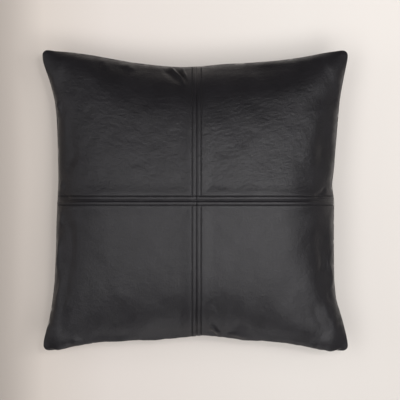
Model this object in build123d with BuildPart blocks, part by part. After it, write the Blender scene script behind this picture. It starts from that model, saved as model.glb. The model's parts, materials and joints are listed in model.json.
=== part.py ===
from build123d import *
import os
from math import asin, cos, degrees, sin

os.makedirs("parts", exist_ok=True)

# Throw pillow, lying flat on its back: +Z through the front, +Y towards the top edge.
# The origin is under the middle of the pillow, on the surface that it rests on. Millimetres.

# The filled cover
seam_z = 65.0  # height of the rim seam, which lies in one plane
front_rise = 70.0  # from the rim seam up to the crown of the front
back_rise = -seam_z
mid_x, mid_y = 220.0, 215.0  # half width and half length across the middle
pull_in = 31.5  # how far each side draws in from its sharp corners
corner_radius = 14.0
front_levels = [0, 0.25, 0.48, 0.68, 0.82, 0.91, 0.965]  # shares of the full dome
back_levels = [0, 0.25, 0.48, 0.68, 0.82, 0.93]  # cut off where it rests on the surface
dome_power, dome_root = 3, 0.38  # how full the dome is: a level shrinks by (1 - level^power)^root
bow_power = 1.3  # how fast the sides lose their hollow on the way up
crown_radius, radius_power = 87.0, 1.75  # and how fast the corners become round

# Leather and its seams
leather = 1.2
rim_allowance = 12.0  # seam allowance turned inside the rim
cross_allowance = 10.0  # seam allowance pressed open beside the cross seams
cross_x = 4.0  # the vertical seam is a little off the middle
row_offset = 7.5  # from a cross seam to the topstitching beside it
row_width = 0.8
row_gap, row_top = 0.05, 0.6  # underside and top of the stitches above the leather
row_end = 3.0  # the rows stop this far from the rim
thread_inset, thread_width, thread_height = 3.0, 0.6, 0.4  # the rim's seam thread
thread_play = 0.1  # room round it in the groove between the two allowances

# Insert
insert_inset = 15.0  # the insert is this much smaller than the cover at the rim
front_drop, back_drop = 2.8, 1.5  # and lies this far inside it at the crown and underneath
ticking = 0.6
ticking_allowance = 8.0
ticking_thread_inset = 4.0
filling_gap = 0.3

# Zip in the bottom side, which is an arc about (0, arc_y). Depths go inwards from that arc.
side_radius = ((mid_x + pull_in) ** 2 + pull_in**2) / (2 * pull_in)
arc_y = -(mid_y + side_radius)
window_x, window_z = 185.0, 4.0  # half length and half height of the gap between the lips
lip_height, lip_depth = 8.0, 3.4  # leather folded in behind each lip
room_margin = 2.0  # room past the ends of the tapes
room_depth = 4.0  # and behind the rim allowance
outside = 9.0  # cuts start this far outside the arc, clear of the leather
tape_x, tape_height, tape_depth, tape_back = 192.0, 6.5, 3.5, 4.0
coil_start, coil_end = -174.0, 178.0
coil_height, coil_depth, coil_back = 2.4, 2.2, 3.4
slot_half = 0.75  # half of the slot between the coils, where the slider's web runs
stop_gap, stop_length = 0.2, 2.5

# Slider and pull
slider_start, slider_stop = -168.0, 170.0
slider_length, shoulder_half, tail_half = 9.5, 3.5, 3.0
plate = 1.0
top_depth, bottom_depth = 0.9, 4.3  # where the outer and the inner plate begin
plate_corner, bail_corner, tab_corner = 1.2, 1.2, 1.6
hole_inset, hole_radius = 3.0, 1.0  # in the pull's tab
flange, flange_back = 0.75, 3.1
web_half, web_length = 0.45, 3.0
pivot_depth = -1.1
bar_radius = 0.5
bail_wire, bail_half, bail_length = 0.75, 0.8, 5.4
pull_length, pull_half, arm, arm_length = 23.0, 2.4, 1.15, 4.2
play = 0.3

FAR = 700.0  # larger than the pillow


def outline(level, size, height):
    """The pillow's outline at a level from 0, the rim seam, towards 1, the top of the dome."""
    keep = size * (1 - level**dome_power) ** dome_root
    bow = pull_in * keep * (1 - (2 * level) ** bow_power)
    x, y = mid_x * keep, mid_y * keep
    radius = size * min(corner_radius + crown_radius * (2 * level) ** radius_power, 0.6 * y)
    with BuildSketch(Plane.XY.offset(height)) as face:
        with BuildLine():
            ThreePointArc((-x - bow, -y - bow), (0, -y), (x + bow, -y - bow))
            ThreePointArc((x + bow, -y - bow), (x, 0), (x + bow, y + bow))
            ThreePointArc((x + bow, y + bow), (0, y), (-x - bow, y + bow))
            ThreePointArc((-x - bow, y + bow), (-x, 0), (-x - bow, -y - bow))
        make_face()
        fillet(face.vertices(), radius)
    return face.sketch


def half_form(side, inset=0.0, drop=0.0):
    """The front (side 1) or back (side -1) half, lofted from the rim seam and made smaller."""
    levels, rise = (front_levels, front_rise) if side > 0 else (back_levels, back_rise)
    step = (rise - side * drop) / levels[-1]
    with BuildPart() as form:
        for level in levels:
            add(outline(level, 1 - inset / mid_x, seam_z + step * level))
        loft()
    return form.part


def rim_ring(inset, width, height):
    """A flat ring that follows the rim, from inset inwards, half above and half below the seam."""
    with BuildPart() as ring:
        add(outline(0, 1 - inset / mid_x, seam_z - height / 2))
        extrude(amount=height)
        add(outline(0, 1 - (inset + width) / mid_x, seam_z - height / 2))
        extrude(amount=height, mode=Mode.SUBTRACT)
    return ring.part


def side_band(depth, back, low, high, x_from, x_to):
    """A strip along the bottom side's arc, from depth to back, between heights off the seam."""
    start, stop = asin(x_from / side_radius), asin(x_to / side_radius)
    outwards = (sin(start), cos(start), 0)
    start_plane = Plane((0, arc_y, seam_z), x_dir=outwards, z_dir=(cos(start), -sin(start), 0))
    with BuildPart() as band:
        with BuildSketch(start_plane):
            with Locations((side_radius + (depth + back) / 2, (low + high) / 2)):
                Rectangle(back - depth, abs(high - low))
        revolve(axis=Axis((0, arc_y, 0), (0, 0, -1)), revolution_arc=degrees(stop - start))
    return band.part


def hollow_half(side, outer, cavities, thickness, inset, allowance):
    """A sewn half: its wall, and the allowance that turns inwards at the rim seam."""
    with BuildPart() as turned:
        add(outer)
        with BuildSketch(Plane.XY.offset(seam_z)):
            Rectangle(FAR, FAR)
        extrude(amount=side * thickness, mode=Mode.INTERSECT)
        add(outline(0, 1 - (inset + allowance) / mid_x, seam_z))
        extrude(amount=side * thickness, mode=Mode.SUBTRACT)
    with BuildPart() as half:
        add(outer)
        add(cavities, mode=Mode.SUBTRACT)
        add(turned.part)
        add(rim_groove if inset == 0 else ticking_groove, mode=Mode.SUBTRACT)
    return half.part


def save(part, label):
    part.label = label
    export_step(part, f"parts/{label}.step")


def thread_ring(inset):
    return rim_ring(inset, thread_width, thread_height)


def thread_groove(inset):
    return rim_ring(inset - thread_play, thread_width + 2 * thread_play, thread_height + 2 * thread_play)


rim_groove = thread_groove(thread_inset)
ticking_groove = thread_groove(insert_inset + ticking_thread_inset)


# Leather cover: one back panel, and four front panels that meet at the cross seams
def quarter(x_side, y_side, margin=0.0):
    """A box over one front panel, kept back from the cross seams by margin."""
    corner = (cross_x + x_side * (margin + FAR / 2), y_side * (margin + FAR / 2), seam_z)
    with BuildPart() as box:
        with Locations(corner):
            Box(FAR, FAR, FAR)
    return box.part


def with_zip_gap(half, outer, side):
    """Opens the gap for the zip and folds the leather in behind its lip."""
    with BuildPart() as lip:
        add(outer)
        low, high = sorted((side * window_z, side * lip_height))
        add(side_band(-outside, lip_depth, low, high, -window_x, window_x), mode=Mode.INTERSECT)
    with BuildPart() as opened:
        add(half)
        add(lip.part)
        add(zip_window, mode=Mode.SUBTRACT)
        add(zip_room, mode=Mode.SUBTRACT)
    return opened.part


zip_window = side_band(-outside, lip_depth, -window_z, window_z, -window_x, window_x)
room_x = tape_x + room_margin
room_back = rim_allowance + room_depth
zip_room = side_band(lip_depth - 0.2, room_back, -window_z, window_z, -room_x, room_x)

quarters = [("upper_left", -1, 1), ("upper_right", 1, 1), ("lower_left", -1, -1), ("lower_right", 1, -1)]
front_outer, back_outer = half_form(1), half_form(-1)
one_layer, two_layers = half_form(1, leather, leather), half_form(1, 2 * leather, 2 * leather)
pockets = [two_layers]
for _, x_side, y_side in quarters:
    with BuildPart() as pocket:
        add(one_layer)
        add(quarter(x_side, y_side, cross_allowance), mode=Mode.INTERSECT)
    pockets.append(pocket.part)

front = hollow_half(1, front_outer, pockets, leather, 0, rim_allowance)
front = with_zip_gap(front, front_outer, 1)
for name, x_side, y_side in quarters:
    with BuildPart() as front_panel:
        add(front)
        add(quarter(x_side, y_side), mode=Mode.INTERSECT)
    save(front_panel.part, f"front_panel_{name}")

back = hollow_half(-1, back_outer, [half_form(-1, leather, leather)], leather, 0, rim_allowance)
save(with_zip_gap(back, back_outer, -1), "back_panel")

# Topstitching: a raised line of thread on each side of both cross seams
with BuildPart() as stitch_skin:
    add(half_form(1, -row_top, -row_top))
    add(half_form(1, -row_gap, -row_gap), mode=Mode.SUBTRACT)


def stitch_row(name, x_from, x_to, y_from, y_to):
    with BuildPart() as row:
        add(stitch_skin.part)
        with Locations(((x_from + x_to) / 2, (y_from + y_to) / 2, seam_z + front_rise)):
            Box(x_to - x_from, y_to - y_from, 2 * front_rise, mode=Mode.INTERSECT)
    save(row.part, f"topstitch_{name}")


for name, x_side, y_side in quarters:
    x, y_near, y_far = cross_x + x_side * row_offset, row_offset + row_width, mid_y - row_end
    low, high = sorted((y_side * y_near, y_side * y_far))
    stitch_row(f"vertical_{name}", x - row_width / 2, x + row_width / 2, low, high)
for name, y_side in [("upper", 1), ("lower", -1)]:
    x, y = mid_x - row_end, y_side * row_offset
    stitch_row(f"horizontal_{name}", -x, x, y - row_width / 2, y + row_width / 2)

# Seam thread round three sides of the rim; the zip closes the fourth
with BuildPart() as perimeter_seam_thread:
    add(thread_ring(thread_inset))
    with Locations((0, -mid_y, seam_z)):
        Box(2 * room_x + 2, mid_y / 2, 4 * leather, mode=Mode.SUBTRACT)
save(perimeter_seam_thread.part, "perimeter_seam_thread")


# Insert: two ticking panels sewn round the rim, and the filling
def ticking_half(side, drop):
    outer = half_form(side, insert_inset, drop)
    cavity = half_form(side, insert_inset + ticking, drop + ticking)
    return hollow_half(side, outer, [cavity], ticking, insert_inset, ticking_allowance)


save(ticking_half(1, front_drop), "insert_ticking_front")
save(ticking_half(-1, back_drop), "insert_ticking_back")
save(thread_ring(insert_inset + ticking_thread_inset), "insert_seam_thread")

inside = ticking + filling_gap
with BuildPart() as insert_filling:
    add(half_form(1, insert_inset + inside, front_drop + inside))
    add(half_form(-1, insert_inset + inside, back_drop + inside))
    ring_width = ticking_allowance + filling_gap + 2
    add(rim_ring(insert_inset - 2, ring_width, 2 * inside), mode=Mode.SUBTRACT)
save(insert_filling.part, "insert_filling")

# Zip: two tapes, two coils and the stops at their ends
for name, side in [("front", 1), ("back", -1)]:
    tape = side_band(tape_depth, tape_back, *sorted((side * slot_half, side * tape_height)), -tape_x, tape_x)
    save(tape, f"zipper_tape_{name}")
    coil_sides = sorted((side * slot_half, side * coil_height))
    save(side_band(coil_depth, coil_back, *coil_sides, coil_start, coil_end), f"zipper_coil_{name}")

stop_x = coil_end + stop_gap
bottom_stop = side_band(coil_depth, coil_back, -coil_height, coil_height, stop_x, stop_x + stop_length)
save(bottom_stop, "zipper_bottom_stop")
stop_x = coil_start - stop_gap
with BuildPart() as zipper_top_stops:
    for low, high in [(slot_half, coil_height), (-coil_height, -slot_half)]:
        add(side_band(coil_depth, coil_back, low, high, stop_x - stop_length, stop_x))
save(zipper_top_stops.part, "zipper_top_stops")

# Slider at the closed end: two plates joined by a web, flanges round the coils and a bail
slider_turn = asin(slider_start / side_radius)
inwards = Vector(sin(slider_turn), cos(slider_turn), 0)
along = Vector(cos(slider_turn), -sin(slider_turn), 0)
slider_origin = Vector(0, arc_y, seam_z) + inwards * side_radius
slider_plane = Plane(slider_origin, x_dir=along, z_dir=-inwards)  # its Z goes out of the pillow


def plate_outline():
    """Wide at the leading end, where the two coils part, and narrower at the tail."""
    half = slider_length / 2
    with BuildSketch() as shape:
        with BuildLine():
            Polyline(
                (-half, 0), (-half, shoulder_half), (0, shoulder_half), (half, tail_half), (half, 0)
            )
            mirror(about=Plane.XZ)
        make_face()
        fillet(shape.vertices().filter_by(lambda v: abs(v.Y) > 1), plate_corner)
    return shape.sketch


with BuildPart() as zipper_slider:
    with BuildSketch(slider_plane.offset(-top_depth - plate)):
        add(plate_outline())
    extrude(amount=plate)
    with BuildSketch(slider_plane.offset(-flange_back)):
        add(plate_outline())
        offset(amount=-flange, mode=Mode.SUBTRACT)
        with Locations((-slider_length / 2, 0), (slider_length / 2, 0)):
            Rectangle(4, 2 * (coil_height + play), mode=Mode.SUBTRACT)
    extrude(amount=flange_back - top_depth - plate)
    with BuildSketch(slider_plane.offset(-bottom_depth - plate)):
        add(plate_outline())
    extrude(amount=plate)
    with BuildSketch(slider_plane.offset(-bottom_depth)):
        with Locations((-slider_length / 4, 0)):
            SlotOverall(web_length, 2 * web_half)
    extrude(amount=bottom_depth - top_depth - plate)
    bail_inside = bar_radius + play
    bail_rise = -pivot_depth + top_depth + bail_inside + bail_wire
    with BuildSketch(Plane(slider_origin, x_dir=along, z_dir=(0, 0, 1))) as bail:
        with Locations((0, top_depth - bail_rise / 2)):
            Rectangle(bail_length, bail_rise)
        fillet(bail.vertices().group_by(Axis.Y)[0], bail_corner)
        with Locations((0, top_depth - (bail_rise - bail_wire) / 2)):
            Rectangle(bail_length - 2 * bail_wire, bail_rise - bail_wire, mode=Mode.SUBTRACT)
    extrude(amount=bail_half, both=True)
save(zipper_slider.part, "zipper_slider")

# Pull: a bar through the bail, two arms and a rounded tab with a small hole
pivot = slider_origin + inwards * pivot_depth
with BuildPart() as zipper_pull:
    with BuildSketch(slider_plane.offset(-pivot_depth - bar_radius)):
        with Locations((pull_length / 2, 0)):
            RectangleRounded(pull_length, 2 * pull_half, tab_corner)
        with Locations(((arm_length + bar_radius) / 2, 0)):
            Rectangle(arm_length - bar_radius, 2 * (pull_half - arm), mode=Mode.SUBTRACT)
        with Locations((pull_length - hole_inset, 0)):
            Circle(hole_radius, mode=Mode.SUBTRACT)
    extrude(amount=2 * bar_radius)
save(zipper_pull.part, "zipper_pull")

travel = degrees(asin(slider_stop / side_radius) - slider_turn)
print(f"slider arc centre y {arc_y:.3f} radius {side_radius:.3f} travel {travel:.2f} degrees")
print(f"pull pivot {pivot.X:.3f} {pivot.Y:.3f} {pivot.Z:.3f}")
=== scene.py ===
import json
import math

import bmesh
import bpy
import numpy as np
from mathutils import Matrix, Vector


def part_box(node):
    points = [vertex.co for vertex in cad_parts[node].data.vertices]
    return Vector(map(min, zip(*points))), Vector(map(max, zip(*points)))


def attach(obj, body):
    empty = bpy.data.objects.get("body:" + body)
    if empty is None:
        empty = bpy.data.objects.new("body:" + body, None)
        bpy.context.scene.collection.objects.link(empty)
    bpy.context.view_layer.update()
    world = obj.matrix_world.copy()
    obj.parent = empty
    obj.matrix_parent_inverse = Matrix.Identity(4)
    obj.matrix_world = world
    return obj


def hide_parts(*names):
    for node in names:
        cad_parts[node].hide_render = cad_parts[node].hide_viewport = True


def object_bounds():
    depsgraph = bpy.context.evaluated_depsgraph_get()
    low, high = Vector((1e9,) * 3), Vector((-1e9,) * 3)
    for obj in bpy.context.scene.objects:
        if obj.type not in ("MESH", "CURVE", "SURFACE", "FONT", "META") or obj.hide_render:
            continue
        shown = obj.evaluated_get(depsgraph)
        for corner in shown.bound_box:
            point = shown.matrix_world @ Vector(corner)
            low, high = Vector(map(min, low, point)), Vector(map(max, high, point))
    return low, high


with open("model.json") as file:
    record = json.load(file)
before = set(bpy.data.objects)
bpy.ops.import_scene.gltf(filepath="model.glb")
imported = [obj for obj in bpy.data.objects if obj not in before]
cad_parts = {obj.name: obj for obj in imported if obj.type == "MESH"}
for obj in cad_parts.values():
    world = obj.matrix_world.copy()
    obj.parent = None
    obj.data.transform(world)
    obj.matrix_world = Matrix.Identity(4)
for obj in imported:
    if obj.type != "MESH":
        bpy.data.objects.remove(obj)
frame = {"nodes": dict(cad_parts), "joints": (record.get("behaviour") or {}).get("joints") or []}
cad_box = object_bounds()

# A leather throw pillow lying on its back: +Z through the front, +Y towards the top edge.
# Everything is in metres. "Cut" places (x, y) are measured on the flat leather from the middle of
# the cover, and the simulation says where they end up on the filled pillow.
MM = 0.001
scene = bpy.context.scene

# Leather
cut_width, cut_length = 0.507, 0.497  # between the rim seams, across the middle and the corners
cut_hollow = 0.045  # the cut's sides bow in by this share, so that the corners aren't pointed
cut_corner = 9 * MM
gather = 0.98  # the rim seam draws the leather in by 2%
leather = 1.2 * MM
rim_allowance = 9 * MM
roll_gap = 0.01 * MM  # half of the gap between two rolled edges at a seam
steps_round_roll = 6

# Cross seams and their topstitching
cross_x = 4 * MM
row_offset = 7.5 * MM
pitch = 4 * MM
stitch_length = 3.3 * MM
thread_radius = 0.36 * MM
row_end = 6 * MM

# Heights of the filled cover above the surface that it rests on
seam_z = (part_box("perimeter_seam_thread")[0][2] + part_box("perimeter_seam_thread")[1][2]) / 2
crown = cad_box[1][2] - seam_z - 0.6 * MM
volume = 0.0185

# The bottom side is an arc, and the slider turns about its centre
slider_joint = next(joint for joint in frame["joints"] if joint["name"] == "slider_travel")
arc_y = slider_joint["pos_m"][1]
side_radius = -215 * MM - arc_y
window_x, window_z = 185 * MM, 4 * MM  # half the length of the zip's opening, and half its height


# ---------------------------------------------------------------- the filled cover, simulated

def smooth(low, high, value):
    """0 below low, 1 above high and a soft step between them."""
    share = np.clip((value - low) / (high - low), 0, 1)
    return share * share * (3 - 2 * share)


def unit(vectors):
    """The same directions, with a length of 1."""
    return vectors / (np.linalg.norm(vectors, axis=-1, keepdims=True) + 1e-12)


def flat_cut(count):
    """The leather's cut as a grid of (count + 1) x (count + 1) flat points, rows along y."""
    half_x, half_y = cut_width / 2, cut_length / 2
    share = np.linspace(-1, 1, count + 1)
    x, y = np.meshgrid(share * half_x, share * half_y)
    over_x = (abs(x) - half_x + cut_corner) / cut_corner
    over_y = (abs(y) - half_y + cut_corner) / cut_corner
    corner = (over_x > 0) & (over_y > 0)
    shrink = np.maximum(over_x, over_y) / np.maximum(np.hypot(over_x, over_y), 1e-9)
    shrink = np.where(corner, shrink, 1)
    x = np.where(corner, np.copysign(half_x - cut_corner + over_x * shrink * cut_corner, x), x)
    y = np.where(corner, np.copysign(half_y - cut_corner + over_y * shrink * cut_corner, y), y)
    bowed_x = x * (1 - cut_hollow * (1 - (y / half_y) ** 2))
    bowed_y = y * (1 - cut_hollow * (1 - (x / half_x) ** 2))
    return np.stack([bowed_x, bowed_y], -1)


def outward(cloth):
    """Area-weighted normals of both layers, pointing out of the pillow."""
    normals = np.zeros_like(cloth)
    first, second = cloth[:, :-1, :-1], cloth[:, :-1, 1:]
    third, fourth = cloth[:, 1:, 1:], cloth[:, 1:, :-1]
    area = np.cross(third - first, fourth - second) / 2
    area[1] *= -1
    for rows in (slice(0, -1), slice(1, None)):
        for columns in (slice(0, -1), slice(1, None)):
            normals[:, rows, columns] += area / 4
    return normals


def thread_ends(size, step_j, step_i, colour):
    """Slices of both ends of the threads along (step_j, step_i) that don't share a point."""
    span = max(abs(step_j), abs(step_i))
    main = 0 if abs(step_j) == span else 1
    ends = []
    for far in (0, 1):
        slices = []
        for axis, step in enumerate((step_j, step_i)):
            shift = step if far else 0
            if axis == main:
                count = len(range(colour, size - span, 2 * span))
                start = colour + shift
                slices.append(slice(start, start + (count - 1) * 2 * span + 1, 2 * span))
            else:
                low = -step if step < 0 else 0
                high = size - step if step > 0 else size
                slices.append(slice(low + shift, high + shift))
        ends.append((slice(None), *slices))
    return ends


# Threads: rows and columns from end to end, and how much stretch and how much slack each takes back in a step
weave = ((0, 1, 1, 0.05), (1, 0, 1, 0.05), (1, 1, 0.5, 0.02), (1, -1, 0.5, 0.02))


def cloth_threads(cut):
    """Every thread of the weave that stands for the leather, with its length and its stiffness."""
    size = cut.shape[0]
    threads = []
    for step_j, step_i, pull, give in weave:
        for colour in (0, 1):
            near, far = thread_ends(size, step_j, step_i, colour)
            length = np.linalg.norm(cut[far[1:]] - cut[near[1:]], axis=-1)
            rows = np.arange(*near[1].indices(size))
            columns = np.arange(*near[2].indices(size))
            if step_j == 0:
                length[(rows == 0) | (rows == size - 1)] *= gather
            if step_i == 0:
                length[:, (columns == 0) | (columns == size - 1)] *= gather
            threads.append((near, far, length[None], pull, give))
    return threads


def second_difference(values, axis):
    """How far each value inside lies from the middle of its two neighbours, along an axis."""
    ahead = np.roll(values, -1, axis)
    behind = np.roll(values, 1, axis)
    return ahead + behind - 2 * values


def stiffen(cloth):
    """Bending stiffness: takes some of the fourth difference away, over the leather and along its rim."""
    bend = second_difference(cloth, 1) + second_difference(cloth, 2)
    bend[:, (0, -1)] = 0
    bend[:, :, (0, -1)] = 0
    change = second_difference(bend, 1) + second_difference(bend, 2)
    change[:, (0, 1, -2, -1)] = 0
    change[:, :, (0, 1, -2, -1)] = 0
    cloth = cloth - change / 64
    for rim in (cloth[:, 0], cloth[:, -1], cloth[:, :, 0], cloth[:, :, -1]):
        bend = second_difference(rim, 1)
        bend[:, (0, -1)] = 0
        change = second_difference(bend, 1)
        change[:, (0, 1, -2, -1)] = 0
        rim -= change / 16
    return cloth


def join_rim(cloth):
    """Sews the two layers together along the rim, which stays level."""
    for rim in (cloth[:, 0], cloth[:, -1], cloth[:, :, 0], cloth[:, :, -1]):
        rim[:] = rim.mean(0)
        rim[..., 2] = 0
    return cloth


def fill(cloth, threads, steps, push):
    """Blows the cover up to its volume while the threads keep their length."""
    speed = np.zeros_like(cloth)
    top_speed = 3 * MM
    floor = leather - seam_z
    for _ in range(steps):
        normals = outward(cloth)
        held = (cloth * normals).sum() / 3
        before = cloth.copy()
        pressure = np.clip((volume - held) / volume * 20, -0.3, 1)
        cloth = cloth + speed * 0.9 + push * pressure * unit(normals)
        for _ in range(2):
            for near, far, length, pull, give in threads:
                gap = cloth[far] - cloth[near]
                now = np.sqrt(np.einsum("...k,...k->...", gap, gap)) + 1e-12
                over = now - length
                stiff = np.where(over > 0, pull, give)
                shift = (0.5 * stiff * over / now)[..., None] * gap
                cloth[near] += shift
                cloth[far] -= shift
            cloth = join_rim(stiffen(cloth))
            cloth[..., 2] = np.maximum(cloth[..., 2], floor)
        speed = cloth - before
        fastest = np.abs(speed).max()
        if fastest > top_speed:
            speed *= top_speed / fastest
    return cloth


def refine(cloth):
    """Halves the spacing of the grid, on smooth curves through its points."""
    for axis in (1, 2):
        cloth = np.moveaxis(cloth, axis, 0)
        ends = [2 * cloth[:1] - cloth[1:2], cloth, 2 * cloth[-1:] - cloth[-2:-1]]
        longer = np.concatenate(ends)
        middle = (9 * (longer[1:-2] + longer[2:-1]) - longer[:-3] - longer[3:]) / 16
        finer = np.empty((2 * len(cloth) - 1, *cloth.shape[1:]))
        finer[::2] = cloth
        finer[1::2] = middle
        cloth = np.moveaxis(finer, 0, axis)
    return cloth


def simulate():
    """The filled cover: two sewn layers of leather, the lower one resting on a flat surface."""
    share = np.linspace(-1, 1, 21)
    across, along = np.meshgrid(share, share)
    dome = 0.03 * np.sqrt((1 - across**2) * (1 - along**2))
    cut = flat_cut(20)
    cloth = np.stack([np.dstack([cut, dome]), np.dstack([cut, -dome])])
    for count, steps in ((20, 400), (40, 300), (80, 200)):
        if count > 20:
            cloth = refine(cloth)
        cloth = fill(cloth, cloth_threads(flat_cut(count)), steps, 0.02 / count)
    return refine(cloth)


# The cover's outline from above: (place along the side, distance from the middle), in millimetres
left_side = (
    (-236, 245), (-226, 243.5), (-194, 234.5), (-161, 229), (-129, 225.5), (-80, 223.5), (-32, 222.5),
    (1, 221), (33, 219.5), (82, 220.5), (130, 222), (163, 225.5), (195, 234), (227, 245.5),
    (236, 246.5),
)
right_side = (
    (-236, 247.5), (-226, 247), (-194, 239), (-161, 228.5), (-129, 225.5), (-80, 225), (-32, 225),
    (1, 225.5), (25, 221.5), (49, 225), (82, 227.5), (130, 231.5), (163, 234.5), (195, 240), (227, 247),
    (236, 247.5),
)
top_side = (
    (-236, 242), (-198, 239), (-166, 234.5), (-134, 228.5), (-101, 222.5), (-53, 217), (-20, 215),
    (12, 216.5), (45, 220), (77, 221.5), (109, 223.5), (142, 226.5), (174, 231), (207, 237.5),
    (236, 242),
)
bottom_side = (
    (-236, 243), (-198, 233.5), (-166, 228.5), (-134, 225.5), (-101, 224.5), (-53, 223.5), (-20, 220.5),
    (12, 215.5), (45, 219.5), (77, 224.5), (109, 225.5), (142, 227.5), (174, 232.5), (207, 239.5),
    (236, 242),
)


def outline_at(points, place):
    """A side's distance from the middle at places along it, with its corners softened."""
    dense = np.linspace(-0.26, 0.26, 521)
    known = np.array(points) * MM
    reach = np.interp(dense, known[:, 0], known[:, 1])
    window = np.hanning(33)
    soft = np.convolve(np.pad(reach, 16, mode="edge"), window / window.sum(), mode="valid")
    return np.interp(place, dense, soft)


def rim_distances(x, y):
    """Distances of cut places to the nearer side and to the nearer end of the cover."""
    return cut_width / 2 - np.abs(x), cut_length / 2 - np.abs(y)


def rim_distance(x, y):
    """Distance to the rim."""
    return np.minimum(*rim_distances(x, y))


def soft_rim_distance(x, y):
    """Distance to the rim that turns the corners smoothly."""
    from_side, from_end = rim_distances(x, y)
    turn = 70 * MM
    near = turn - np.hypot(np.maximum(turn - from_side, 0), np.maximum(turn - from_end, 0))
    return np.where(rim_distance(x, y) < turn, near, rim_distance(x, y))


def shape_cover(cloth):
    """Moves the simulated cover's sides to this pillow's own outline and opens its seams."""
    count = cloth.shape[1] - 1
    share = np.linspace(-1, 1, count + 1)
    doubled = 2 * leather  # from the simulated inner side out to the face over the folded allowance
    cloth = cloth.copy()
    middle = (cloth[0].max((0, 1)) + cloth[0].min((0, 1))) / 2
    cloth[..., :2] -= middle[:2]
    inner = np.clip(np.arange(count + 1), round(0.035 * count), round(0.965 * count))
    for _ in range(3):
        normals = unit(outward(cloth))
        level = np.hypot(normals[0, ..., 0], normals[0, ..., 1])
        left_rim, right_rim = cloth[0, :, 0], cloth[0, :, -1]
        left = -outline_at(left_side, left_rim[:, 1]) + doubled * level[:, 0] - left_rim[:, 0]
        right = outline_at(right_side, right_rim[:, 1]) - doubled * level[:, -1] - right_rim[:, 0]
        weight = np.abs(share) ** 3
        cloth[..., 0] += np.where(share < 0, left[inner, None] * weight, right[inner, None] * weight)
        bottom_rim, top_rim = cloth[0, 0], cloth[0, -1]
        top = outline_at(top_side, top_rim[:, 0]) - doubled * level[-1] - top_rim[:, 1]
        arc = arc_y + np.sqrt(side_radius**2 - bottom_rim[:, 0] ** 2)
        bottom = arc + doubled * level[0] - bottom_rim[:, 1]
        weight = weight[:, None]
        cloth[..., 1] += np.where(share[:, None] < 0, bottom[inner] * weight, top[inner] * weight)
    # over the zip, which follows the arc, the leather swells out to the bottom side's outline
    from_zip = np.arange(count + 1)[:, None] * cut_length / count
    swell = smooth(0, 11 * MM, from_zip) * (1 - smooth(18 * MM, 85 * MM, from_zip))
    widest = round(12 * MM / cut_length * count)
    wanted = outline_at(bottom_side, cloth[0, widest, :, 0]) - doubled * level[widest]
    overhang = np.maximum(wanted + cloth[0, widest, :, 1], 0)
    overhang *= smooth(0, 30 * MM, cut_width / 2 * (1 - np.abs(share)))
    cloth[0, ..., 1] -= overhang * swell
    cloth[1, ..., 1] -= 0.6 * overhang * swell
    cloth[0, ..., 2] *= (crown - leather) / cloth[0, ..., 2].max()
    rows, columns = np.meshgrid(np.arange(count + 1), np.arange(count + 1), indexing="ij")
    half = count / 2
    from_rim = soft_rim_distance((columns / half - 1) * cut_width / 2, (rows / half - 1) * cut_length / 2)
    fade = 1 - smooth(0, 34 * MM, from_rim)
    half_gap = np.full(level.shape, roll_gap)
    near_bottom = 1 - smooth(20 * MM, 60 * MM, rows * cut_length / count)
    half_gap += window_z * near_bottom * (1 - smooth(window_x, window_x + 14 * MM, np.abs(cloth[0, ..., 0])))
    lift = half_gap + leather * level
    cloth[0, ..., 2] += lift * fade
    cloth[1, ..., 2] -= lift * fade
    return cloth


def cubic(share):
    """Weights of four neighbouring points for a smooth curve between the middle two."""
    s = share[..., None]
    parts = [-s**3 + 2 * s**2 - s, 3 * s**3 - 5 * s**2 + 2, -3 * s**3 + 4 * s**2 + s, s**3 - s**2]
    return np.concatenate(parts, -1) / 2


def surface(layer, x, y):
    """Where cut places end up on the filled cover's inner side, and the way out of it there."""
    grid = cover_grids[layer]
    count = grid.shape[0] - 3
    s = np.clip((x / cut_width + 0.5) * count, 0, count)
    t = np.clip((y / cut_length + 0.5) * count, 0, count)
    i = np.minimum(s.astype(int), count - 1)
    j = np.minimum(t.astype(int), count - 1)
    across, along = cubic(s - i), cubic(t - j)
    result = 0
    for row in range(4):
        for column in range(4):
            weight = along[..., row] * across[..., column]
            result = result + weight[..., None] * grid[j + row, i + column]
    return result[..., :3], unit(result[..., 3:])


def make_grids(cloth):
    """The cover's points and normals with one more row outside each side, for surface()."""
    normals = unit(outward(cloth))
    grids = []
    for layer in (0, 1):
        grid = np.concatenate([cloth[layer], normals[layer]], -1)
        for _ in range(2):
            grid = np.concatenate([2 * grid[:1] - grid[1:2], grid, 2 * grid[-1:] - grid[-2:-1]])
            grid = np.swapaxes(grid, 0, 1)
        grids.append(grid)
    return grids


cover = shape_cover(simulate())
cover_grids = make_grids(cover)


# ---------------------------------------------------------------- relief of the leather

def noise(x, y, size, seed):
    """Smooth random values from -1 to 1 that change over about the given size."""
    table = np.random.default_rng(seed).uniform(-1, 1, (64, 64))
    i, j = np.floor(x / size), np.floor(y / size)
    s, t = x / size - i, y / size - j
    s, t = s * s * (3 - 2 * s), t * t * (3 - 2 * t)
    i, j = i.astype(int) % 64, j.astype(int) % 64
    k, l = (i + 1) % 64, (j + 1) % 64
    low = table[j, i] * (1 - s) + table[j, k] * s
    high = table[l, i] * (1 - s) + table[l, k] * s
    return low * (1 - t) + high * t


def crease(x, y, start, end, width, height):
    """A soft ridge, or with a negative height a fold, from start to end; all sizes are in millimetres."""
    ax, ay = start[0] * MM, start[1] * MM
    dx, dy = end[0] * MM - ax, end[1] * MM - ay
    length = math.hypot(dx, dy)
    along = ((x - ax) * dx + (y - ay) * dy) / length
    across = ((x - ax) * dy - (y - ay) * dx) / length
    taper = smooth(0, 0.4 * length, along) * (1 - smooth(0.6 * length, length, along))
    return height * MM * np.exp(-((across / (width * MM)) ** 2)) * taper


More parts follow.
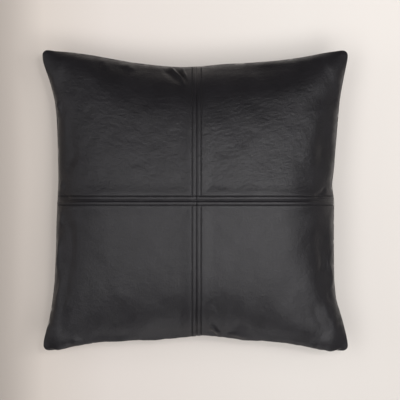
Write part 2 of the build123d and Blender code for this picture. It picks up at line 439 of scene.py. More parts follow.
def allowance_rise(layer, x, y):
    """How far the folded allowance lifts the leather beside each seam."""
    rise = 1 - smooth(0.9 * rim_allowance, 3 * rim_allowance, soft_rim_distance(x, y))
    if layer == 0:
        beside = np.minimum(np.abs(x - cross_x), np.abs(y))
        rise = np.maximum(rise, 1 - smooth(0.8 * rim_allowance, 3.2 * rim_allowance, beside))
    return leather * rise


def rim_gathers(x, y, seed):
    """Short wrinkles across the rim seam, and the soft lumps of the side walls behind them."""
    from_side, from_end = rim_distances(x, y)
    from_rim = soft_rim_distance(x, y)
    on_end = from_end < from_side
    along = np.where(on_end, x, y + 3.1 * np.sign(x))
    side = np.where(on_end, np.sign(y), 2 * np.sign(x))
    pleats = noise(along, side + from_rim / 8, 8 * MM, seed) * np.exp(-from_rim / (14 * MM))
    lumps = noise(along, side + from_rim / 2, 30 * MM, seed + 1)
    lumps *= smooth(4 * MM, 20 * MM, from_rim) * (1 - smooth(45 * MM, 95 * MM, from_rim))
    off_corner = smooth(4 * MM, 45 * MM, np.abs(from_side - from_end))
    return (0.7 * MM * pleats + 2.2 * MM * lumps) * off_corner


# Ridges and folds of the front: start, end, width and height, in millimetres on the cut
front_folds = (
    ((-52, 242), (-27, 190), 5.0, -1.4),
    ((-44, 250), (-17, 190), 3.8, 3.6),
    ((-34, 250), (-13, 196), 3.8, -2.6),
    ((-22, 250), (-12, 200), 4.0, 2.2),
    ((-120, 240), (-100, 218), 8.0, 1.6),
    ((-160, 240), (-142, 216), 8.0, 1.4),
    ((22, -162), (44, -196), 7.0, -1.4),
    ((18, -206), (46, -232), 5.0, 2.4),
    ((22, -222), (44, -242), 5.0, -1.4),
    ((54, -222), (94, -232), 6.0, 2.0),
    ((56, -204), (96, -214), 7.0, -1.2),
    ((196, -158), (214, -226), 7.0, -0.8),
    ((216, -160), (236, -222), 6.0, 0.6),
    ((232, -142), (246, -182), 6.0, -0.7),
    ((-206, -172), (-226, -226), 7.0, -0.9),
    ((236, 18), (200, 10), 4.0, -2.0),
    ((-242, 8), (-205, 6), 4.0, -1.4),
    ((-246, 160), (-226, 150), 7.0, 1.8),
    ((-246, 24), (-224, 18), 7.0, 1.8),
    # hollows along the sides, and the lumps outside them
    ((-214, 6), (-214, -176), 12.0, -2.6),
    ((-214, -120), (-230, -220), 8.0, -1.6),
    ((-238, -4), (-238, -56), 7.0, 2.0),
    ((-238, -52), (-237, -124), 7.0, 2.2),
    ((-232, -116), (-238, -184), 6.0, 1.6),
    ((-212, 176), (-212, 16), 14.0, -2.6),
    ((216, 166), (216, 6), 12.0, -2.0),
    ((216, -6), (217, -164), 10.0, -1.8),
    ((240, -74), (239, -152), 6.0, 1.8),
    ((-206, -226), (-180, -238), 8.0, 1.0),
    ((-156, -236), (-104, -238), 6.0, 1.5),
    ((-96, -236), (-44, -238), 6.0, 1.5),
)


def front_relief(x, y):
    """Height of the front's face over the smooth leather: seams, stitching, wrinkles and folds."""
    beside, above = np.abs(x - cross_x), np.abs(y)
    from_rim = soft_rim_distance(x, y)
    relief = rim_gathers(x, y, 11)
    # each cross seam: the leather puffs up between the seam and its rows, and a little outside them
    for distance, running in ((beside, above), (above, beside)):
        puff = np.clip(distance / row_offset, 0, 1)
        relief = relief + 0.45 * MM * np.sin(np.pi * puff) * smooth(0, 12 * MM, running)
        relief = relief + 0.15 * MM * np.exp(-(((distance - 13 * MM) / (5 * MM)) ** 2))
    rows = ((beside, y, above > row_offset), (above, x - cross_x, True))
    # the rows of stitches: a groove with a hole between every two stitches
    for distance, along, there in rows:
        near = np.exp(-(((distance - row_offset) / (0.8 * MM)) ** 2)) * there
        holes = 0.5 + 0.5 * np.cos(2 * np.pi * (along - pitch / 2) / pitch)
        relief = relief - near * (0.2 * MM + 1.0 * MM * holes**2)
    # the seams themselves
    relief = relief - 1.8 * MM * np.exp(-((above / (1.3 * MM)) ** 2))
    relief = relief - 0.6 * MM * np.exp(-((beside / (1.3 * MM)) ** 2))
    # fine wrinkles, strongest in the upper panels, then softer lumps
    upper = smooth(-10 * MM, 20 * MM, y)
    bent = y - 0.25 * beside + 4 * MM * noise(x, y, 22 * MM, 20)
    fine = noise(x * 0.4, bent, 4 * MM, 21) + 0.6 * noise(x * 0.5 + bent, bent - 0.3 * x, 4 * MM, 22)
    fine *= smooth(8 * MM, 16 * MM, beside) * smooth(0, 60 * MM, from_rim)
    relief = relief + 0.10 * MM * fine * (0.15 + 0.85 * upper)
    relief = relief + 0.55 * MM * noise(x, y, 38 * MM, 23) * smooth(5 * MM, 40 * MM, from_rim)
    relief = relief + 0.25 * MM * noise(x, y, 16 * MM, 24) * smooth(12 * MM, 30 * MM, beside)
    # the folds, bent a little so that none is straight
    bent_x = x + 5 * MM * noise(x, y, 26 * MM, 31)
    bent_y = y + 5 * MM * noise(x, y, 26 * MM, 32)
    for start, end, width, height in front_folds:
        relief = relief + crease(bent_x, bent_y, start, end, width, height)
    return relief


def back_relief(x, y):
    """Height of the back's face over the smooth leather."""
    relief = rim_gathers(x, y, 41)
    lying = smooth(70 * MM, 110 * MM, rim_distance(x, y))
    return relief + 0.45 * MM * noise(x, y, 34 * MM, 43) * (1 - lying)


def skin(layer, x, y, height):
    """Points of the leather at a height over its own inner side."""
    points, normals = surface(layer, x, y)
    relief = front_relief(x, y) if layer == 0 else back_relief(x, y)
    rise = allowance_rise(layer, x, y) + relief + height
    points = points + normals * rise[..., None]
    points[..., 2] = np.maximum(points[..., 2], 0.2 * MM - seam_z)
    return points


# ---------------------------------------------------------------- making pieces

def new_piece(node, points, faces, material):
    """A mesh object that stands for the CAD node of the same name; its points are given from the seam."""
    points = np.asarray(points, float).reshape(-1, 3) + (0, 0, seam_z)
    name = f"{node}_look"
    mesh = bpy.data.meshes.new(name)
    mesh.from_pydata(points.tolist(), [], faces)
    mesh.validate()
    bm = bmesh.new()
    bm.from_mesh(mesh)
    bmesh.ops.recalc_face_normals(bm, faces=bm.faces)
    bm.to_mesh(mesh)
    bm.free()
    mesh.shade_smooth()
    mesh.materials.append(material)
    piece = bpy.data.objects.new(name, mesh)
    scene.collection.objects.link(piece)
    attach(piece, "cover")
    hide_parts(node)
    return piece


def grid_faces(rows, columns, start=0):
    """Quads of a grid of points that are numbered from start."""
    index = start + np.arange(rows * columns).reshape(rows, columns)
    corners = [index[:-1, :-1], index[:-1, 1:], index[1:, 1:], index[1:, :-1]]
    return np.stack(corners, -1).reshape(-1, 4).tolist()


def round_grid(rows, columns):
    """Indices of a grid's outer points, once round it."""
    index = np.arange(rows * columns).reshape(rows, columns)
    return np.concatenate([index[0, :-1], index[:-1, -1], index[-1, :0:-1], index[:0:-1, 0]])


def closed_layers(first, second):
    """Points and faces of two grids alike, joined all round into one closed skin."""
    rows, columns = first.shape[:2]
    size = rows * columns
    ring = round_grid(rows, columns)
    ahead = np.roll(ring, -1)
    faces = grid_faces(rows, columns) + grid_faces(rows, columns, size)
    faces += np.stack([ring, ahead, ahead + size, ring + size], -1).tolist()
    return np.concatenate([first.reshape(-1, 3), second.reshape(-1, 3)]), faces


def seam_lines(length):
    """Grid lines from a cross seam's rolled edge to the rim, close together at both."""
    close = np.array([1.6, 2, 3, 4, 5, 6, 6.5, 7, 7.5, 8, 8.5]) * MM
    open_lines = np.arange(9 * MM, length - 3.4 * MM, 1 * MM)
    rim = length - np.array([3, 2.2, 1.5, 0.9, 0.4, 0]) * MM
    lines = np.concatenate([[leather + roll_gap], close, open_lines, rim])
    # an odd number of them, because the inside uses every second one
    return lines if len(lines) % 2 else np.delete(lines, len(lines) - 8)


def leather_panel(name, layer, x_lines, y_lines, material):
    """A panel as one closed skin: its face, its rolled edge, the allowance folded under and its inside."""
    x, y = np.meshgrid(x_lines, y_lines)
    face = skin(layer, x, y, leather)
    ring = round_grid(*x.shape)
    edge_x, edge_y = x.ravel()[ring], y.ravel()[ring]
    middle_x, middle_y = (x_lines[0] + x_lines[-1]) / 2, (y_lines[0] + y_lines[-1]) / 2
    half_x, half_y = abs(x_lines[-1] - x_lines[0]) / 2, abs(y_lines[-1] - y_lines[0]) / 2

    def inset(distance):
        """The panel's edge, drawn in towards its middle."""
        return (
            middle_x + (edge_x - middle_x) * (1 - distance / half_x),
            middle_y + (edge_y - middle_y) * (1 - distance / half_y),
        )

    normals = surface(layer, edge_x, edge_y)[1]
    core = skin(layer, edge_x, edge_y, 0)
    over = core - skin(layer, *inset(1 * MM), 0)
    over = unit(over - normals * np.einsum("ik,ik->i", over, normals)[:, None])
    # at a cross seam the roll reaches the seam line, wherever the filling has stretched that to
    close_by = 1.1 * (leather + roll_gap)
    seam_x = np.where(np.abs(edge_x - cross_x) < close_by, cross_x, edge_x)
    seam_y = np.where(np.abs(edge_y) < close_by, 0, edge_y)
    towards = skin(layer, seam_x, seam_y, 0) - core
    far = np.linalg.norm(towards, axis=1)
    facing = far > 0.5 * leather
    reach = np.full(len(ring), leather)
    lean = np.einsum("ik,ik->i", over[facing], towards[facing])
    reach[facing] = (far[facing] - roll_gap) * far[facing] / lean
    reach = reach[:, None]
    loops = []
    for step in range(1, steps_round_roll + 1):
        turn = math.pi * step / steps_round_roll
        loops.append(core + leather * normals * math.cos(turn) + reach * over * math.sin(turn))
    fold = inset(rim_allowance - 0.5 * MM)
    loops.append(skin(layer, *fold, -leather))
    loops.append(skin(layer, *fold, -0.1 * MM))
    inside = skin(layer, x[::2, ::2], y[::2, ::2], 0)
    points = [face.reshape(-1, 3), *loops, inside.reshape(-1, 3)]
    faces = grid_faces(*x.shape)
    before = ring
    start = face.shape[0] * face.shape[1]
    for _ in loops:
        now = start + np.arange(len(ring))
        quads = np.stack([before, np.roll(before, -1), np.roll(now, -1), now], -1)
        faces += quads.tolist()
        before = now
        start += len(ring)
    rows, columns = inside.shape[:2]
    faces += grid_faces(rows, columns, start)
    coarse = start + round_grid(rows, columns)
    fine = np.append(before, before[0])
    pentagons = [fine[:-1:2], fine[1::2], fine[2::2], np.roll(coarse, -1), coarse]
    faces += np.stack(pentagons, -1).tolist()
    return new_piece(name, np.concatenate(points), faces, material)


def tube(path, sideways, up, radius_out, radius_up, sides=8):
    """Rings round paths, closed at their ends; path, sideways and up are (paths, points, 3)."""
    paths, count = path.shape[:2]
    turn = np.arange(sides) * 2 * math.pi / sides
    rings = path[:, :, None] + radius_out * sideways[:, :, None] * np.cos(turn)[:, None]
    rings = rings + radius_up * up[:, :, None] * np.sin(turn)[:, None]
    index = np.arange(paths * count * sides).reshape(paths, count, sides)
    ahead = np.roll(index, -1, 2)
    quads = [index[:, :-1], ahead[:, :-1], ahead[:, 1:], index[:, 1:]]
    faces = np.stack(quads, -1).reshape(-1, 4).tolist()
    faces += index[:, 0].tolist() + index[:, -1].tolist()
    return rings.reshape(-1, 3), faces


def stitch_row(name, xs, ys, along_x, material):
    """A row of separate stitches, each a thick thread that dips into the leather at both ends."""
    step = np.linspace(-0.5, 0.5, 9)
    reach = step * stitch_length
    zero = reach * 0
    x = xs[:, None] + (reach if along_x else zero)
    y = ys[:, None] + (zero if along_x else reach)
    height = leather + 0.42 * MM - 1.15 * MM * np.abs(2 * step) ** 4
    path = skin(0, x, y, height + zero)
    normals = surface(0, x, y)[1]
    forward = unit(np.gradient(path, axis=1))
    sideways = unit(np.cross(forward, normals))
    up = np.cross(sideways, forward)
    points, faces = tube(path, sideways, up, thread_radius, thread_radius * 0.85)
    return new_piece(name, points, faces, material)


# ---------------------------------------------------------------- materials

def new_material(name, colour, roughness, **inputs):
    """A material with its plain values on the shader, and its tree, shader and coordinates."""
    material = bpy.data.materials.new(name)
    material.use_nodes = True
    tree = material.node_tree
    shader = tree.nodes["Principled BSDF"]
    shader.inputs["Base Color"].default_value = (*colour, 1)
    shader.inputs["Roughness"].default_value = roughness
    for key, value in inputs.items():
        shader.inputs[key.replace("_", " ")].default_value = value
    place = tree.nodes.new("ShaderNodeTexCoord").outputs["Object"]
    return material, tree, shader, place


def plug(tree, shader, **sources):
    """Joins sources to the shader's inputs of the same names."""
    for key, source in sources.items():
        tree.links.new(source, shader.inputs[key.replace("_", " ")])


def add_texture(tree, kind, place, scale, **settings):
    """A procedural texture at the given scale, with its own settings."""
    texture = tree.nodes.new(f"ShaderNodeTex{kind}")
    tree.links.new(place, texture.inputs["Vector"])
    texture.inputs["Scale"].default_value = scale
    for key, value in settings.items():
        if key in ("feature", "bands_direction"):
            setattr(texture, key, value)
        else:
            texture.inputs[key].default_value = value
    return texture.outputs["Distance" if kind == "Voronoi" else "Fac"]


def add_range(tree, value, low, high, to_low, to_high):
    """A value stretched from one range to another."""
    node = tree.nodes.new("ShaderNodeMapRange")
    tree.links.new(value, node.inputs["Value"])
    node.inputs["From Min"].default_value = low
    node.inputs["From Max"].default_value = high
    node.inputs["To Min"].default_value = to_low
    node.inputs["To Max"].default_value = to_high
    return node.outputs["Result"]


def add_bump(tree, height, distance, strength=1.0, below=None):
    """Bumps of a real height, on top of those below."""
    node = tree.nodes.new("ShaderNodeBump")
    tree.links.new(height, node.inputs["Height"])
    node.inputs["Distance"].default_value = distance
    node.inputs["Strength"].default_value = strength
    if below:
        tree.links.new(below, node.inputs["Normal"])
    return node.outputs["Normal"]


def add_colours(tree, value, stops):
    """A colour for each value, blended between stops of (value, colour)."""
    ramp = tree.nodes.new("ShaderNodeValToRGB")
    tree.links.new(value, ramp.inputs["Fac"])
    elements = ramp.color_ramp.elements
    for index, (place, colour) in enumerate(stops):
        element = elements[index] if index < 2 else elements.new(place)
        element.position = place
        element.color = (*colour, 1)
    return ramp.outputs["Color"]


def add_product(tree, first, second):
    """Two values multiplied."""
    node = tree.nodes.new("ShaderNodeMath")
    node.operation = "MULTIPLY"
    tree.links.new(first, node.inputs[0])
    tree.links.new(second, node.inputs[1])
    return node.outputs["Value"]


def leather_material():
    """Black full-grain leather: cells, pores, wrinkles, and ripples, strongest in the upper half."""
    material, tree, shader, place = new_material("black_leather", (0.008, 0.008, 0.009), 0.5)
    shader.inputs["Specular IOR Level"].default_value = 0.4
    cloud = add_texture(tree, "Noise", place, 22.0, Detail=5.0, Roughness=0.6)
    colour = add_colours(tree, cloud, (
        (0.35, (0.0066, 0.0057, 0.0073)),
        (0.65, (0.0104, 0.0092, 0.0114)),
    ))
    cells = add_texture(tree, "Voronoi", place, 900.0, feature="DISTANCE_TO_EDGE", Randomness=1.0)
    pores = add_texture(tree, "Noise", place, 420.0, Detail=4.0, Roughness=0.6)
    wrinkles = add_texture(tree, "Noise", place, 110.0, Detail=6.0, Roughness=0.65, Distortion=0.8)
    stretch = tree.nodes.new("ShaderNodeVectorMath")
    stretch.operation = "MULTIPLY"
    stretch.inputs[1].default_value = (0.35, 1.0, 0.35)
    tree.links.new(place, stretch.inputs[0])
    stretched = stretch.outputs["Vector"]
    ripples = add_texture(tree, "Noise", stretched, 300.0, Detail=3.0, Roughness=0.5, Distortion=1.2)
    split = tree.nodes.new("ShaderNodeSeparateXYZ")
    tree.links.new(place, split.inputs["Vector"])
    upper = add_range(tree, split.outputs["Y"], -0.03, 0.04, 0.3, 1.0)
    rippled = add_product(tree, ripples, upper)
    polish = add_range(tree, pores, 0.3, 0.7, 0.33, 0.41)
    edge = add_range(tree, cells, 0.0, 0.25, 0.0, 1.0)
    normal = add_bump(tree, edge, 0.06 * MM, 0.8)
    normal = add_bump(tree, pores, 0.3 * MM, 0.7, normal)
    normal = add_bump(tree, wrinkles, 0.8 * MM, 0.7, normal)
    normal = add_bump(tree, rippled, 0.35 * MM, 0.6, normal)
    plug(tree, shader, Base_Color=colour, Roughness=polish, Normal=normal)
    return material


def thread_material(name, colour, roughness):
    """Twisted thread: slanted bands for its plies, and fibres of slightly different tone."""
    material, tree, shader, place = new_material(name, colour, roughness)
    plies = add_texture(tree, "Wave", place, 900.0, bands_direction="DIAGONAL", Distortion=1.5)
    fibres = add_texture(tree, "Noise", place, 1500.0, Detail=3.0)
    darker = tuple(0.6 * part for part in colour)
    lighter = tuple(1.5 * part for part in colour)
    tone = add_colours(tree, fibres, ((0.3, darker), (0.7, lighter)))
    normal = add_bump(tree, plies, 0.12 * MM)
    normal = add_bump(tree, fibres, 0.05 * MM, 1.0, normal)
    plug(tree, shader, Base_Color=tone, Normal=normal)
    return material


def woven_material(name, colour, roughness, threads):
    """Plain weave: two crossing sets of bands, so many threads to a metre, with a faint sheen."""
    material, tree, shader, place = new_material(name, colour, roughness, Sheen_Weight=0.25)
    shader.inputs["Sheen Roughness"].default_value = 0.5
    warp = add_texture(tree, "Wave", place, threads, bands_direction="X", Distortion=0.4)
    weft = add_texture(tree, "Wave", place, threads, bands_direction="Y", Distortion=0.4)
    slub = add_texture(tree, "Noise", place, threads / 6, Detail=5.0)
    darker = tuple(0.72 * part for part in colour)
    tone = add_colours(tree, slub, ((0.3, darker), (0.6, colour)))
    normal = add_bump(tree, add_product(tree, warp, weft), 0.15 * MM)
    normal = add_bump(tree, slub, 0.2 * MM, 0.5, normal)
    plug(tree, shader, Base_Color=tone, Normal=normal)
    return material


def metal_material():
    """Black-nickel zip metal with a fine brushed grain and small scratches."""
    material, tree, shader, place = new_material("black_nickel", (0.16, 0.155, 0.15), 0.3, Metallic=1.0)
    brushed = add_texture(tree, "Noise", place, 700.0, Detail=4.0, Distortion=0.3)
    wear = add_texture(tree, "Noise", place, 120.0, Detail=6.0)
    polish = add_range(tree, brushed, 0.3, 0.7, 0.22, 0.42)
    colour = add_colours(tree, wear, ((0.4, (0.14, 0.135, 0.13)), (0.7, (0.24, 0.235, 0.23))))
    normal = add_bump(tree, brushed, 0.02 * MM)
    plug(tree, shader, Base_Color=colour, Roughness=polish, Normal=normal)
    return material


def coil_material():
    """Moulded nylon, faintly ribbed."""
    material, tree, shader, place = new_material("black_nylon", (0.012, 0.012, 0.013), 0.38)
    ribs = add_texture(tree, "Noise", place, 1200.0, Detail=3.0)
    polish = add_range(tree, ribs, 0.3, 0.7, 0.3, 0.45)
    plug(tree, shader, Roughness=polish, Normal=add_bump(tree, ribs, 0.04 * MM))
    return material


def filling_material():
    """White fibre filling, clumped and fuzzy."""
    material, tree, shader, place = new_material("fibre_filling", (0.82, 0.81, 0.78), 0.9, Sheen_Weight=0.6)
    clumps = add_texture(tree, "Noise", place, 60.0, Detail=8.0, Roughness=0.7)
    colour = add_colours(tree, clumps, ((0.3, (0.68, 0.67, 0.64)), (0.7, (0.86, 0.85, 0.82))))
    plug(tree, shader, Base_Color=colour, Normal=add_bump(tree, clumps, 3 * MM))
    return material


black_leather = leather_material()
black_thread = thread_material("black_thread", (0.010, 0.010, 0.011), 0.55)
white_thread = thread_material("white_thread", (0.74, 0.72, 0.67), 0.7)
black_tape = woven_material("black_tape", (0.014, 0.014, 0.015), 0.8, 1400.0)
cotton_ticking = woven_material("cotton_ticking", (0.80, 0.77, 0.70), 0.85, 900.0)
black_nickel = metal_material()
black_nylon = coil_material()
fibre_filling = filling_material()


# ---------------------------------------------------------------- cover

right_lines = cross_x + seam_lines(cut_width / 2 - cross_x)
left_lines = (cross_x - seam_lines(cut_width / 2 + cross_x))[::-1]
upper_lines = seam_lines(cut_length / 2)
lower_lines = -upper_lines[::-1]
for row, y_lines in (("upper", upper_lines), ("lower", lower_lines)):
    for column, x_lines in (("left", left_lines), ("right", right_lines)):
        panel = leather_panel(f"front_panel_{row}_{column}", 0, x_lines, y_lines, black_leather)


def back_lines(length):
    """Grid lines from rim to rim of the back, close together at both."""
    rim = np.array([0, 0.4, 0.9, 1.5, 2.2, 3, 4]) * MM
    count = 2 * round((length - 12 * MM) / 2 / (2.1 * MM))
    middle = np.linspace(-length / 2 + 6 * MM, length / 2 - 6 * MM, count + 1)
    return np.concatenate([rim - length / 2, middle, length / 2 - rim[::-1]])


back = leather_panel("back_panel", 1, back_lines(cut_width), back_lines(cut_length), black_leather)


# ---------------------------------------------------------------- stitching

half_length = cut_length / 2 - row_end
for row, sign in (("upper", 1), ("lower", -1)):
    for column, side in (("left", -1), ("right", 1)):
        ys = sign * np.arange(row_offset + 4.5 * MM, half_length, pitch)
        xs = np.full(len(ys), cross_x + side * row_offset)
        stitch_row(f"topstitch_vertical_{row}_{column}", xs, ys, False, black_thread)
    steps = int((cut_width / 2 - row_end) / pitch)
    xs = cross_x + pitch * np.arange(-steps - 1, steps)
    xs = xs[np.abs(xs) < cut_width / 2 - row_end]
    stitch_row(f"topstitch_horizontal_{row}", xs, np.full(len(xs), sign * row_offset), True, black_thread)


def rim_path(step):
    """Cut places round the rim, from one end of the zip to the other, clear of the pull's reach."""
    half_x, half_y = cut_width / 2, cut_length / 2
    stop = window_x + 20 * MM
    right = [(x, -half_y) for x in np.arange(stop, half_x, step)]
    right += [(half_x, y) for y in np.arange(-half_y, half_y, step)]
    top = [(x, half_y) for x in np.arange(half_x, -half_x, -step)]
    left = [(-half_x, y) for y in np.arange(half_y, -half_y, -step)]
    left += [(x, -half_y) for x in np.arange(-half_x, -stop, step)]
    return np.array(right + top + left)


def rim_thread():
    """The seam's thread, deep in the groove between the two rolled edges, swaying a little."""
    places = rim_path(1.5 * MM)
    front, normals = surface(0, places[:, 0], places[:, 1])
    back_side = surface(1, places[:, 0], places[:, 1])[0]
    middle = (front + back_side) / 2
    level = np.hypot(normals[:, 0], normals[:, 1])
    ahead = np.gradient(middle, axis=0)
    ahead[:, 2] = 0
    out = unit(np.stack([ahead[:, 1], -ahead[:, 0], ahead[:, 2]], -1))
    middle += out * (2 * leather * level + 0.45 * MM)[:, None]
    middle[:, 2] += 0.06 * MM * np.sin(np.arange(len(middle)) * 2.1)
    up = np.cross(out, unit(np.gradient(middle, axis=0)))
    points, faces = tube(middle[None], out[None], up[None], 0.28 * MM, 0.28 * MM)
    return new_piece("perimeter_seam_thread", points, faces, black_thread)


rim_thread()


# ---------------------------------------------------------------- zip

def on_arc(x, depth, height):
    """Points inside the bottom side's arc: x along it, depth into the pillow, height from the seam."""
    turn = np.arcsin(x / side_radius)
    radius = side_radius + depth
    return np.stack(np.broadcast_arrays(radius * np.sin(turn), arc_y + radius * np.cos(turn), height), -1)


def tape(name, side):
    """One zip tape, a woven strip that follows the arc."""
    low, high = (np.array(corner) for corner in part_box(name))
    x = np.linspace(low[0], high[0], 191)
    heights = side * np.linspace(0.75 * MM, 6.5 * MM, 7)
    ribs = 0.03 * MM * np.cos(np.arange(7) * math.pi)
    front_face = on_arc(x[None], 3.5 * MM + ribs[:, None], heights[:, None])
    back_face = on_arc(x[None], 4.0 * MM, heights[:, None])
    points, faces = closed_layers(front_face, back_face)
    return new_piece(name, points, faces, black_tape)


def coil(name, side):
    """One row of coil teeth: a loop of nylon at each pitch, from the tape to the middle and back."""
    low, high = (np.array(corner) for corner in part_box(name))
    tooth_pitch = 1.5 * MM
    start = low[0] + (0.5 if side > 0 else 1.0) * tooth_pitch
    places = np.arange(start, high[0] - 0.5 * tooth_pitch, tooth_pitch)
    turn = np.linspace(0, 2 * math.pi, 13)[:-1]
    height = side * (1.5 * MM - 0.62 * MM * np.cos(turn))
    depth = 2.8 * MM - 0.32 * MM * np.sin(turn)
    lean = 0.28 * MM * np.sin(turn)
    x = places[:, None] + lean
    path = on_arc(x, depth, height + x * 0)
    up = unit(path - path.mean(1, keepdims=True))
    sideways = np.cross(unit(np.roll(path, -1, 1) - np.roll(path, 1, 1)), up)
    sides = 6
    around = np.arange(sides) * 2 * math.pi / sides
    wire = 0.24 * MM
    rings = path[:, :, None] + wire * sideways[:, :, None] * np.cos(around)[:, None]
    rings = rings + wire * up[:, :, None] * np.sin(around)[:, None]
    index = np.arange(rings[..., 0].size).reshape(rings.shape[:3])
    ahead, beyond = np.roll(index, -1, 2), np.roll(index, -1, 1)
    faces = np.stack([index, ahead, np.roll(ahead, -1, 1), beyond], -1).reshape(-1, 4).tolist()
    return new_piece(name, rings, faces, black_nylon)


for end, side in (("front", 1), ("back", -1)):
    tape(f"zipper_tape_{end}", side)
    coil(f"zipper_coil_{end}", side)

for node in ("zipper_slider", "zipper_pull", "zipper_bottom_stop", "zipper_top_stops"):
    carried = frame["nodes"][node]
    carried.data.materials.clear()
    carried.data.materials.append(black_nickel)


# ---------------------------------------------------------------- insert

insert_share, insert_height = 0.937, 0.965  # of the cover's width and height
insert_half = 0.235  # about half of the insert's width


def insert_points(layer, x, y, drop):
    """Points of the insert: the cover drawn in all round, with its own flat seam."""
    points = surface(layer, x, y)[0]
    edge = rim_distance(x, y)
    open_up = smooth(0, 34 * MM, edge)
    sign = 1 if layer == 0 else -1
    height = points[..., 2] - sign * (roll_gap + leather) * (1 - open_up)
    height = np.where(sign * height < 0, 0, height) * insert_height
    folds = 0.8 * MM * noise(x, y, 12 * MM, 61 + layer) * np.exp(-edge / (20 * MM))
    result = np.stack([points[..., 0], points[..., 1], height], -1)
    result[..., :2] *= insert_share
    rise = 0.35 * MM + folds * (1 - np.exp(-edge / (4 * MM)))
    result[..., 2] += sign * (rise - drop * smooth(0, 20 * MM, edge))
    result[..., :2] *= 1 - drop / insert_half
    return result


def insert_grid(count):
    """Cut places of a grid all over the cover."""
    lines_x = np.linspace(-cut_width / 2, cut_width / 2, count)
    lines_y = np.linspace(-cut_length / 2, cut_length / 2, count)
    return np.meshgrid(lines_x, lines_y)


def thin_sheet(name, layer, thickness, material):
    """A layer of the insert's ticking as a closed thin sheet, thinnest at its edge."""
    x, y = insert_grid(161)
    outer = insert_points(layer, x, y, 0)
    inner = outer.copy()
    sign = 1 if layer == 0 else -1
    edge = rim_distance(x, y)
    inner[..., 2] -= sign * (0.15 * MM + (thickness - 0.15 * MM) * smooth(0, 10 * MM, edge))
    inner[..., :2] *= 1 - thickness / insert_half
    points, faces = closed_layers(outer, inner)
    return new_piece(name, points, faces, material)


def filling():
    """The fibre filling, a closed form just inside the ticking."""
    x, y = insert_grid(121)
    drop = 2.2 * MM
    points, faces = closed_layers(insert_points(0, x, y, drop), insert_points(1, x, y, drop))
    return new_piece("insert_filling", points, faces, fibre_filling)


def insert_thread():
    """The insert's seam thread, round its edge."""
    step = 3 * MM
    over_zip = np.arange(-window_x - 8 * MM, window_x + 8 * MM, step)
    closing = np.array([(x, -cut_length / 2) for x in over_zip])
    places = np.concatenate([rim_path(step), closing])
    middle = insert_points(0, places[:, 0], places[:, 1], 0)
    middle[:, 2] = 0
    middle[:, :2] *= 1.004
    ahead = np.roll(middle, -1, 0) - np.roll(middle, 1, 0)
    out = unit(np.stack([ahead[:, 1], -ahead[:, 0], 0 * ahead[:, 0]], -1))
    middle[:, 2] += 0.25 * MM * np.sin(np.arange(len(middle)) * 2.4)
    up = np.zeros_like(out)
    up[:, 2] = 1
    points, faces = tube(middle[None], out[None], up[None], 0.3 * MM, 0.3 * MM)
    return new_piece("insert_seam_thread", points, faces, white_thread)


for end, layer in (("front", 0), ("back", 1)):
    piece = thin_sheet(f"insert_ticking_{end}", layer, 0.6 * MM, cotton_ticking)
filling()
insert_thread()


# ---------------------------------------------------------------- floor, light and camera

def make_floor():
    """A pale floor with a painted glow that lifts the shadows on it, and painted shade that makes it darker
    to the left and a little to the bottom.
    """
    mesh = bpy.data.meshes.new("floor")
    reach = 6.0
    corners = [(-reach, -reach, 0), (reach, -reach, 0), (reach, reach, 0), (-reach, reach, 0)]
    mesh.from_pydata(corners, [], [(0, 1, 2, 3)])
    floor = bpy.data.objects.new("floor", mesh)
    scene.collection.objects.link(floor)
    material, tree, shader, place = new_material("pale_floor", (0.88, 0.855, 0.81), 0.7)
    shader.inputs["Specular IOR Level"].default_value = 0.2
    split = tree.nodes.new("ShaderNodeSeparateXYZ")
    tree.links.new(place, split.inputs["Vector"])
    # painted shade: the floor's colour darkens towards the left, and the Y ramp below darkens it a little
    # towards the bottom, as falling light would
    across = add_range(tree, split.outputs["X"], -0.35, 0.35, 0.0, 1.0)
    colour = add_colours(tree, across, (
        (0.0, (0.41, 0.365, 0.325)),
        (0.065, (0.54, 0.485, 0.435)),
        (0.14, (0.75, 0.68, 0.615)),
        (0.30, (0.84, 0.775, 0.72)),
        (0.75, (0.905, 0.855, 0.80)),
    ))
    painted_falloff_colour, dimmed_under_glow = tree.nodes.new("ShaderNodeVectorMath"), tree.nodes.new("ShaderNodeVectorMath")
    painted_falloff_colour.operation = dimmed_under_glow.operation = "SCALE"
    tree.links.new(colour, painted_falloff_colour.inputs[0])
    tree.links.new(add_range(tree, split.outputs["Y"], -0.35, 0.35, 0.88, 1.06), painted_falloff_colour.inputs["Scale"])
    tree.links.new(painted_falloff_colour.outputs["Vector"], dimmed_under_glow.inputs[0])
    # painted glow: the floor's base colour is dimmed to 0.8 and the floor gives off light of its own at 0.2
    # strength, which lifts the shadows on it
    dimmed_under_glow.inputs["Scale"].default_value = 0.8
    shader.inputs["Emission Strength"].default_value = 0.2
    plug(tree, shader, Base_Color=dimmed_under_glow.outputs["Vector"], Emission_Color=painted_falloff_colour.outputs["Vector"])
    mesh.materials.append(material)


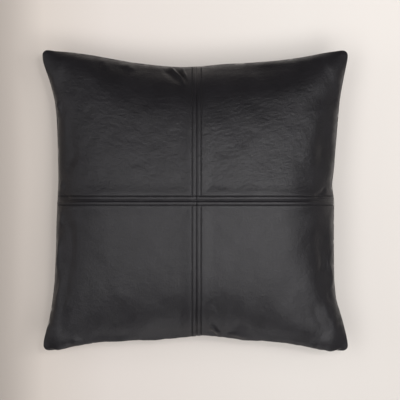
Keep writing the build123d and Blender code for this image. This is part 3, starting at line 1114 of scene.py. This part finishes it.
def add_light(name, place, size, power):
    """A soft square light at a place, turned towards the pillow."""
    light = bpy.data.lights.new(name, "AREA")
    light.shape = "SQUARE"
    light.size = size
    light.energy = power
    light.color = (1.0, 0.99, 1.0)
    lamp = bpy.data.objects.new(name, light)
    lamp.location = place
    lamp.rotation_euler = (Vector((0, 0, seam_z)) - Vector(place)).to_track_quat("-Z", "Y").to_euler()
    scene.collection.objects.link(lamp)


lights = {
    "over_right": ((1.3, 0.0, 3.0), 1.3, 12.8),
    "over_left": ((-1.3, 0.0, 3.0), 1.3, 15.6),
    "over_bottom": ((0.0, -1.3, 3.0), 1.3, 9.2),
    "over_top_right": ((1.3, 1.3, 3.0), 1.3, 3.9),
    "over_bottom_right": ((1.3, -1.3, 3.0), 1.3, 22.2),
    "over_bottom_left": ((-1.3, -1.3, 3.0), 1.3, 9.0),
    "over_top_left": ((-1.3, 1.3, 3.0), 1.3, 4.1),
    "side_right": ((2.6, 0.0, 1.6), 1.4, 3.9),
    "side_left": ((-2.6, 0.0, 1.6), 1.4, 5.8),
    "low_bottom": ((0.0, -2.4, 0.8), 1.0, 7.4),
    "low_left": ((-2.4, 0.0, 0.8), 1.0, 2.1),
    "key_right": ((1.6, 0.2, 2.4), 0.5, 6.6),
    "key_top": ((0.5, 0.3, 3.1), 0.3, 12.2),
}
world_strength = 0.12


def light_scene():
    """Large soft lights and an even pale surround."""
    for name, (place, size, power) in lights.items():
        add_light(name, place, size, power)
    world = bpy.data.worlds.new("studio")
    world.use_nodes = True
    background = world.node_tree.nodes["Background"]
    background.inputs["Color"].default_value = (1.0, 0.99, 1.0, 1)
    background.inputs["Strength"].default_value = world_strength
    scene.world = world


def make_camera():
    """The camera looks straight down, a little to the right of the pillow's middle."""
    camera = bpy.data.objects.new("camera", bpy.data.cameras.new("camera"))
    camera.location = (0.0089, 0.0008, seam_z + 2.5)
    camera.data.sensor_width = 36.0
    camera.data.lens = 139.0
    camera.data.clip_end = 50.0
    scene.collection.objects.link(camera)
    scene.camera = camera


make_floor()
light_scene()
make_camera()
scene.view_settings.view_transform = "Standard"
